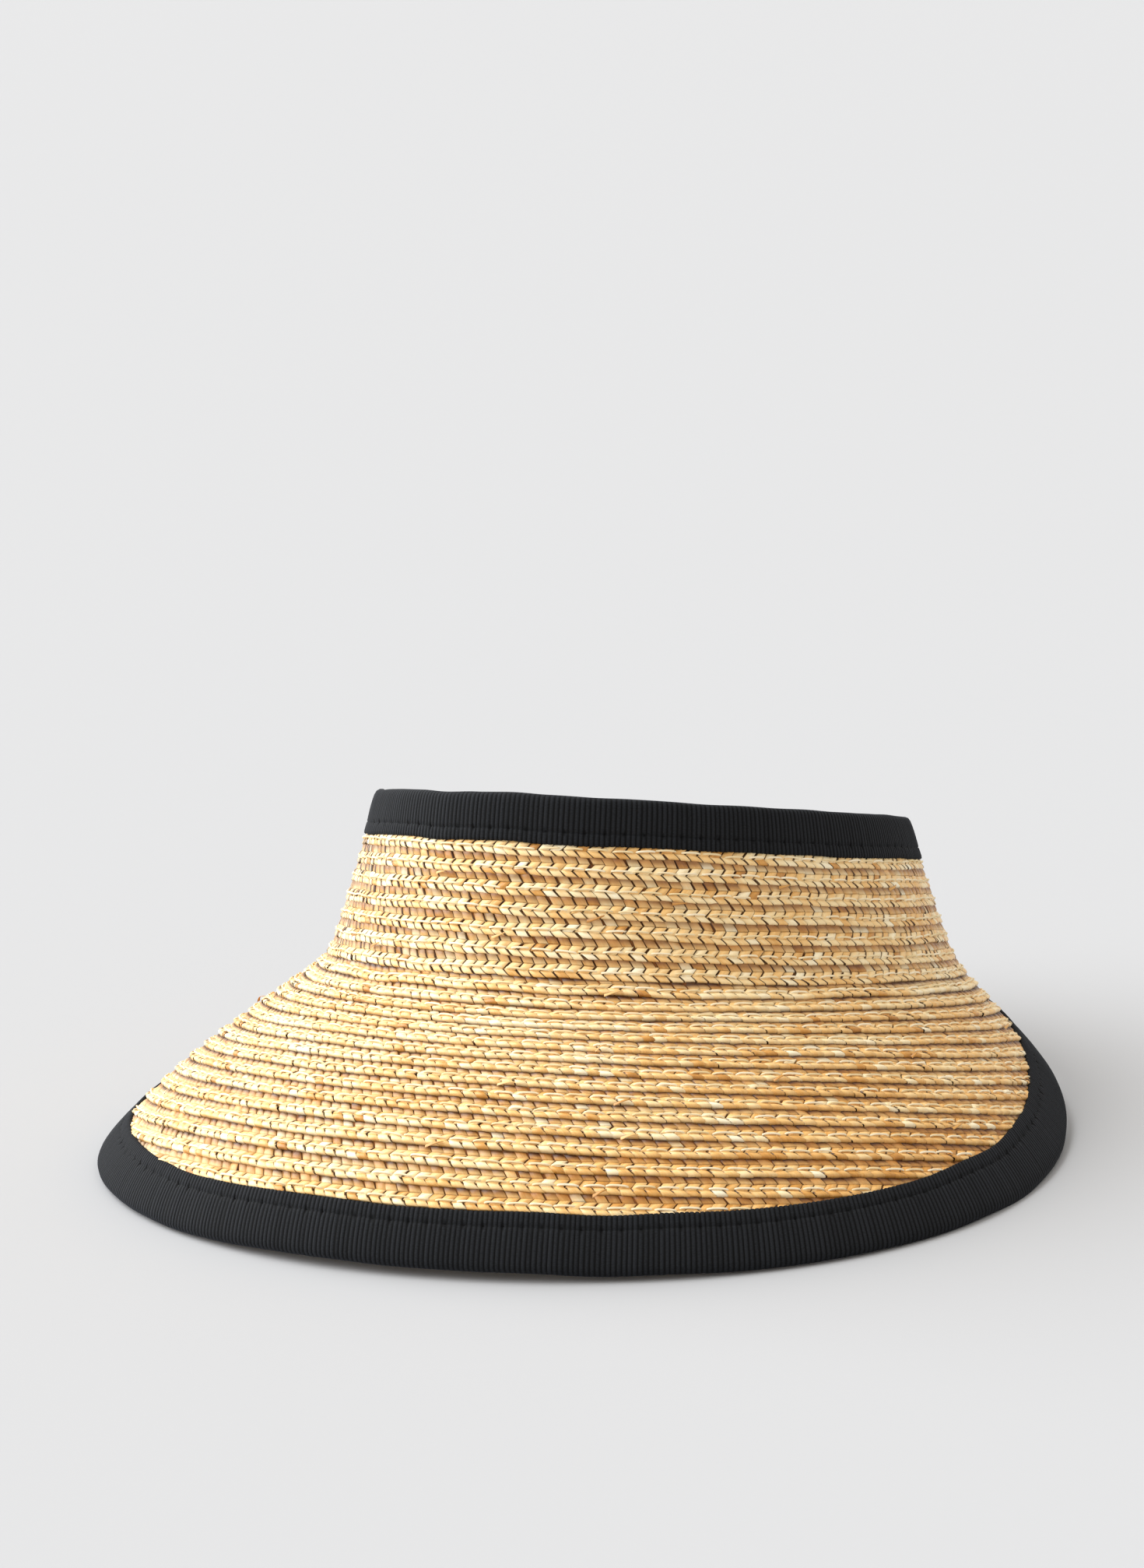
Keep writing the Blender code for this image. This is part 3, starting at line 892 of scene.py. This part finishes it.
def split_wheat_straw(looks):
    """Split and pressed wheat straw: satin, with fine fibres along each splint.

    The outer skin of the stalk is waxy, so each flat splint has a soft gloss of its own. The
    tint runs from weathered brown over gold to bleached, and painted shade darkens the creases
    between splints and warms the straw below a folded edge.
    """
    material, tree = new_surface("split_wheat_straw")
    marks = node(tree, "Attribute", {"attribute_name": "marks"})
    parts = node(tree, "SeparateColor", {}, {"Color": marks})
    uv = node(tree, "UVMap", {"uv_map": "along"})
    stretch = node(tree, "Mapping",
                   {"Scale": (1.0 / FIBRE_MM[0], 1.0 / FIBRE_MM[1], 1.0)}, {"Vector": uv})
    fibres = node(tree, "TexNoise", {"Scale": 1.0, "Detail": 3.0, "Roughness": 0.6},
                  {"Vector": stretch})
    stain_map = node(tree, "Mapping",
                     {"Scale": (1.0 / STAIN_MM[0], 1.0 / STAIN_MM[1], 1.0)}, {"Vector": uv})
    stains = node(tree, "TexNoise", {"Scale": 1.0, "Detail": 2.0}, {"Vector": stain_map})
    # The tint, streaked by fibres and stained, runs along the straw's colours
    streak = node(tree, "Math", {"operation": "MULTIPLY_ADD", 1: 0.34, 2: -0.17}, {0: fibres})
    stain = node(tree, "Math", {"operation": "MULTIPLY_ADD", 1: 0.36, 2: -0.18}, {0: stains})
    tone = node(tree, "Math", {"operation": "ADD"}, {0: parts.outputs["Red"], 1: streak})
    tone = node(tree, "Math", {"operation": "ADD", "use_clamp": True}, {0: tone, 1: stain})
    skin = node(tree, "ValToRGB", {}, {"Fac": tone}, [
        (0.0, tuple(looks.brown)), (0.25, linear("#D29644")), (0.50, tuple(looks.golden)),
        (0.75, linear("#F8DFAC")), (1.0, tuple(looks.pale))])
    # Painted shade: a dark slit runs down both long sides of a splint, 0.2 mm wide
    spot = node(tree, "UVMap", {"uv_map": "spot"})
    place = node(tree, "SeparateXYZ", {}, {"Vector": spot})
    aside = node(tree, "Math", {"operation": "SUBTRACT", 1: 0.5}, {0: place.outputs["X"]})
    aside = node(tree, "Math", {"operation": "ABSOLUTE"}, {0: aside})
    slit_shade = node(tree, "MapRange", {"interpolation_type": "SMOOTHSTEP", "From Min": SLIT[0],
                                   "From Max": SLIT[1]}, {"Value": aside})
    upper = node(tree, "MapRange", {"interpolation_type": "SMOOTHSTEP", "From Min": UPPER[0],
                                    "From Max": UPPER[1]}, {"Value": place.outputs["Y"]})
    slit_shade = node(tree, "Math", {"operation": "MULTIPLY"}, {0: slit_shade, 1: upper})
    # Painted shade in creases, under the folded edge, where rows lap and in the slits
    crease_shade = node(tree, "Math", {"operation": "MAXIMUM"}, {0: parts.outputs["Blue"], 1: slit_shade})
    # Painted shade: the part below a folded edge is darkened to a warm orange, as if lit by the
    # straw around it
    warm_painted_shade = node(tree, "Mix",
                {"data_type": "RGBA", "blend_type": "MULTIPLY", "B": linear("#F2B45C")},
                {"Factor": parts.outputs["Green"], "A": skin})
    # The painted shade darkens the straw towards brown
    skin_with_painted_shade = node(tree, "Mix",
                   {"data_type": "RGBA", "blend_type": "MULTIPLY", "B": linear("#56401A")},
                   {"Factor": crease_shade, "A": warm_painted_shade.outputs["Result"]})
    # Stained patches are duller than clean ones
    rough = node(tree, "MapRange", {"To Min": 0.34, "To Max": 0.58}, {"Value": stains})
    bump = node(tree, "Bump", {"Strength": 0.5, "Distance": 0.06 * MM}, {"Height": fibres})
    node(tree, SHADER, {"IOR": 1.5, "Coat Weight": 0.18, "Coat Roughness": 0.30},
         {"Base Color": skin_with_painted_shade.outputs["Result"], "Roughness": rough, "Normal": bump})
    return material


def straw_pith(looks):
    """Painted shade for the straw seen deep between splints: matt and dark brown, which sets the
    splints apart.
    """
    material, tree = new_surface("straw_pith")
    place = node(tree, "TexCoord")
    # Blotches 4 mm across
    cloud = node(tree, "TexNoise", {"Scale": 1.0 / (4.0 * MM), "Detail": 3.0},
                 {"Vector": place.outputs["Object"]})
    shade = node(tree, "ValToRGB", {}, {"Fac": cloud},
                 [(0.3, linear("#6A390F")), (0.7, linear("#965A20"))])
    node(tree, SHADER, {"Roughness": 0.8}, {"Base Color": shade})
    return material


def cotton_thread(looks):
    """Twisted cotton sewing thread: pale and matt, a thin light line on the glossy straw."""
    material, tree = new_surface("cotton_thread")
    marks = node(tree, "Attribute", {"attribute_name": "marks"})
    parts = node(tree, "SeparateColor", {}, {"Color": marks})
    uv = node(tree, "UVMap", {"uv_map": "along"})
    # Plies: seven ridges round the thread, fewer and coarser than real so that they show
    plies = node(tree, "TexWave", {"Scale": 0.35, "Distortion": 0.5}, {"Vector": uv})
    shade = node(tree, "ValToRGB", {}, {"Fac": parts.outputs["Red"]},
                 [(0.0, linear("#EBD3A0")), (1.0, tuple(looks.cream))])
    bump = node(tree, "Bump", {"Strength": 0.3, "Distance": 0.05 * MM}, {"Height": plies})
    node(tree, SHADER, {"Roughness": 0.75}, {"Base Color": shade, "Normal": bump})
    return material


def grosgrain_ribbon(looks):
    """Woven grosgrain ribbon: matt ink-black warp over cords, with a faint grey bloom.

    The fine warp yarns cross the ribs and give them a beaded look, and fuzz catches light.
    """
    material, tree = new_surface("grosgrain_ribbon")
    marks = node(tree, "Attribute", {"attribute_name": "marks"})
    parts = node(tree, "SeparateColor", {}, {"Color": marks})
    uv = node(tree, "UVMap", {"uv_map": "along"})
    # Warp yarns 0.4 mm apart down each rib, drawn coarser than real so that they show
    bead_map = node(tree, "Mapping", {"Scale": (1.2, 1.0 / 0.4, 1.0)}, {"Vector": uv})
    beads = node(tree, "TexNoise", {"Scale": 1.0, "Detail": 2.0, "Roughness": 0.7},
                 {"Vector": bead_map})
    beaded = node(tree, "Math", {"operation": "MULTIPLY_ADD", 1: 1.0, 2: 0.5}, {0: beads})
    # Painted light and shade: rib crests lighter and grooves darker, beaded by the warp yarns
    lit = node(tree, "Math", {"operation": "MULTIPLY"}, {0: parts.outputs["Red"], 1: beaded})
    # Painted shade: the line of stitches is darker, most of all in the dents where a stitch goes in
    lit = node(tree, "Math", {"operation": "SUBTRACT", "use_clamp": True},
               {0: lit, 1: parts.outputs["Green"]})
    shade = node(tree, "ValToRGB", {}, {"Fac": lit}, [
        (0.0, linear("#030304")), (0.55, tuple(looks.ink)), (1.0, linear("#1E2024"))])
    bump = node(tree, "Bump", {"Strength": 0.6, "Distance": 0.10 * MM}, {"Height": beads})
    node(tree, SHADER, {"Roughness": 0.8, "Specular IOR Level": 0.15, "Sheen Weight": 0.17,
                        "Sheen Roughness": 0.4, "Sheen Tint": tuple(looks.bloom)},
         {"Base Color": shade, "Normal": bump})
    return material


def backdrop_paper(looks):
    """Matt studio paper, pale and grey, with a hint of tooth that keeps its shadows soft."""
    material, tree = new_surface("backdrop_paper")
    place = node(tree, "TexCoord")
    # Tooth 3 mm across
    tooth = node(tree, "TexNoise", {"Scale": 1.0 / (3.0 * MM), "Detail": 2.0},
                 {"Vector": place.outputs["Object"]})
    bump = node(tree, "Bump", {"Strength": 0.05, "Distance": 0.1 * MM}, {"Height": tooth})
    node(tree, SHADER, {"Base Color": tuple(looks.paper), "Roughness": 0.95,
                        "Specular IOR Level": 0.1}, {"Normal": bump})
    return material


class VISOR_OT_crown_braid(bpy.types.Operator):
    """Lays the crown's rows of plaited straw, outside and inside."""

    bl_idname = "visor.crown_braid"
    bl_label = "Crown Braid"

    def execute(self, context):
        scene = context.scene
        wall = Wall(scene.visor_shape)
        looks = scene.braid_looks
        straw = made_of(split_wheat_straw, looks)
        rows = list(enumerate(crown_rows(wall, looks)))
        outer, inner = plait_rows(looks, rows, False, 1000)
        outer.build("crown_plait_outer", "straw_braid", straw, ("crown_braid",))
        inner.build("crown_plait_inner", "straw_braid", straw)
        return {"FINISHED"}


class VISOR_OT_brim_braid(bpy.types.Operator):
    """Lays the brim's rows of plaited straw, on top and below."""

    bl_idname = "visor.brim_braid"
    bl_label = "Brim Braid"

    def execute(self, context):
        scene = context.scene
        wall = Wall(scene.visor_shape)
        looks = scene.braid_looks
        straw = made_of(split_wheat_straw, looks)
        rows = list(enumerate(brim_rows(wall, looks)))
        # Three parts, so that none of them has too many faces
        parts = (("near_bend", rows[:7]), ("middle", rows[7:12]), ("near_edge", rows[12:]))
        for name, part in parts:
            outer, inner = plait_rows(looks, part, True, 2000)
            outer.build("brim_plait_top_" + name, "straw_braid", straw, ("brim_braid",))
            inner.build("brim_plait_underside_" + name, "straw_braid", straw)
        return {"FINISHED"}


class VISOR_OT_backing(bpy.types.Operator):
    """Closes the wall behind the splints."""

    bl_idname = "visor.backing"
    bl_label = "Straw Backing"

    def execute(self, context):
        scene = context.scene
        # Painted shade: a dark brown shell that shows between the splints
        backing_shade = made_of(straw_pith, scene.braid_looks)
        points, faces = backing(Wall(scene.visor_shape))
        add_mesh("straw_backing", points, faces, backing_shade)
        return {"FINISHED"}


class VISOR_OT_stitching(bpy.types.Operator):
    """Sews the rows with long stitches and pulls a few splint ends loose."""

    bl_idname = "visor.stitching"
    bl_label = "Stitching"

    def execute(self, context):
        scene = context.scene
        wall = Wall(scene.visor_shape)
        looks = scene.braid_looks
        thread = Patches()
        crown = crown_rows(wall, looks)
        brim = brim_rows(wall, looks)
        for k, row in enumerate(crown):
            stitches(thread, row, looks, False, 3000 + k)
        for k, row in enumerate(brim):
            stitches(thread, row, looks, True, 3100 + k)
        thread.build("sewing_thread", "straw_braid", made_of(cotton_thread, looks))
        # The six listed places show in the photo, and the rest are strewn over the wall
        rng = np.random.default_rng(64)
        places = [(crown[1], False, -0.62, 7.0 * MM), (crown[3], False, 0.33, 5.5 * MM),
                  (crown[4], False, 0.62, 5.0 * MM), (brim[0], True, 0.40, 6.0 * MM),
                  (brim[15], True, 0.21, 7.5 * MM), (brim[14], True, 0.37, 5.0 * MM)]
        for turn in rng.uniform(-math.pi, math.pi, 26):
            places.append((brim[rng.integers(0, 17)], True, turn, rng.uniform(3.0, 6.5) * MM))
        for turn in rng.uniform(-math.pi, math.pi, 10):
            places.append((crown[rng.integers(0, 6)], False, turn, rng.uniform(3.0, 5.5) * MM))
        ends = Patches()
        loose_ends(ends, places, 65)
        ends.build("loose_splint_ends", "straw_braid", made_of(split_wheat_straw, looks))
        return {"FINISHED"}


class VISOR_OT_bindings(bpy.types.Operator):
    """Folds a grosgrain ribbon over the crown's rim and over the brim's edge."""

    bl_idname = "visor.bindings"
    bl_label = "Bindings"

    def execute(self, context):
        scene = context.scene
        wall = Wall(scene.visor_shape)
        looks = scene.ribbon_looks
        grosgrain = made_of(grosgrain_ribbon, looks)
        for brim, stands_for in ((False, "crown_binding"), (True, "brim_binding")):
            points, faces, marks, uvs = ribbon(wall, looks, brim, 71 + brim)
            add_mesh(stands_for + "_ribbon", points, faces, grosgrain,
                     (stands_for,), marks, {"along": uvs})
        return {"FINISHED"}


class VISOR_OT_stage(bpy.types.Operator):
    """Sets the pale floor, the soft light and the camera."""

    bl_idname = "visor.stage"
    bl_label = "Stage"

    def execute(self, context):
        scene = context.scene
        looks = scene.stage_looks
        # The floor is one wide disc
        floor = bpy.data.meshes.new("floor_paper")
        radius = 14.0
        corners = 64
        angle = np.linspace(0.0, FULL_TURN, corners + 1)[:-1]
        ring = np.stack([radius * np.cos(angle), radius * np.sin(angle), 0.0 * angle], axis=-1)
        floor.from_pydata(ring.tolist(), [], [list(range(corners))])
        floor.materials.append(made_of(backdrop_paper, looks))
        paper = bpy.data.objects.new("floor_paper", floor)
        scene.collection.objects.link(paper)
        # Daylight from a big window on the left, and a pale room
        key = bpy.data.lights.new("window_light", "SUN")
        key.energy = 5.15
        key.angle = math.radians(80.0)
        key.color = (0.97, 0.99, 1.0)
        lamp = bpy.data.objects.new("window_light", key)
        lamp.rotation_euler = (math.radians(54.0), 0.0, math.radians(-82.0))
        scene.collection.objects.link(lamp)
        world = bpy.data.worlds.new("pale_room")
        world.use_nodes = True
        background = world.node_tree.nodes["Background"]
        background.inputs["Color"].default_value = (1.0, 0.955, 0.885, 1.0)
        background.inputs["Strength"].default_value = 0.87
        scene.world = world
        scene.view_settings.view_transform = "Standard"
        # The camera stands off the rim's centre, looks a little past it and is rolled
        azimuth = math.radians(looks.azimuth)
        elevation = math.radians(looks.elevation)
        off = Vector((math.sin(azimuth) * math.cos(elevation),
                      -math.cos(azimuth) * math.cos(elevation), math.sin(elevation)))
        place = Vector(HEAD_OPENING["pos_m"]) + looks.distance * off
        turned = (Matrix.Rotation(azimuth + math.radians(looks.yaw), 4, "Z")
                  @ Matrix.Rotation(math.pi / 2.0 - elevation + math.radians(looks.pitch), 4, "X")
                  @ Matrix.Rotation(math.radians(looks.roll), 4, "Z"))
        data = bpy.data.cameras.new("camera")
        data.lens = looks.lens
        data.sensor_fit = "VERTICAL"
        data.sensor_height = 24.0
        data.clip_end = 60.0
        camera = bpy.data.objects.new("camera", data)
        camera.matrix_world = Matrix.Translation(place) @ turned
        scene.collection.objects.link(camera)
        scene.camera = camera
        return {"FINISHED"}


class VISOR_PT_panel(bpy.types.Panel):
    """Lists the visor's pieces."""

    bl_idname = "VISOR_PT_panel"
    bl_label = "Straw Sun Visor"
    bl_space_type = "VIEW_3D"
    bl_region_type = "UI"
    bl_category = "Visor"

    def draw(self, context):
        layout = self.layout
        for operator in OPERATORS:
            layout.operator(operator.bl_idname)


OPERATORS = (VISOR_OT_crown_braid, VISOR_OT_brim_braid, VISOR_OT_backing, VISOR_OT_stitching,
             VISOR_OT_bindings, VISOR_OT_stage)
GROUPS = (("visor_shape", VisorShape), ("braid_looks", BraidLooks), ("ribbon_looks", RibbonLooks),
          ("stage_looks", StageLooks))


def register():
    """Adds the sizes, the operators and the panel."""
    for name, group in GROUPS:
        bpy.utils.register_class(group)
        setattr(bpy.types.Scene, name, PointerProperty(type=group))
    for cls in OPERATORS + (VISOR_PT_panel,):
        bpy.utils.register_class(cls)


def unregister():
    """Takes them away again."""
    for cls in (VISOR_PT_panel,) + OPERATORS[::-1]:
        bpy.utils.unregister_class(cls)
    for name, group in GROUPS[::-1]:
        delattr(bpy.types.Scene, name)
        bpy.utils.unregister_class(group)


def main():
    """Builds the visor piece by piece."""
    register()
    bpy.ops.visor.crown_braid()
    bpy.ops.visor.brim_braid()
    bpy.ops.visor.backing()
    bpy.ops.visor.stitching()
    bpy.ops.visor.bindings()
    bpy.ops.visor.stage()


if __name__ == "__main__":
    main()
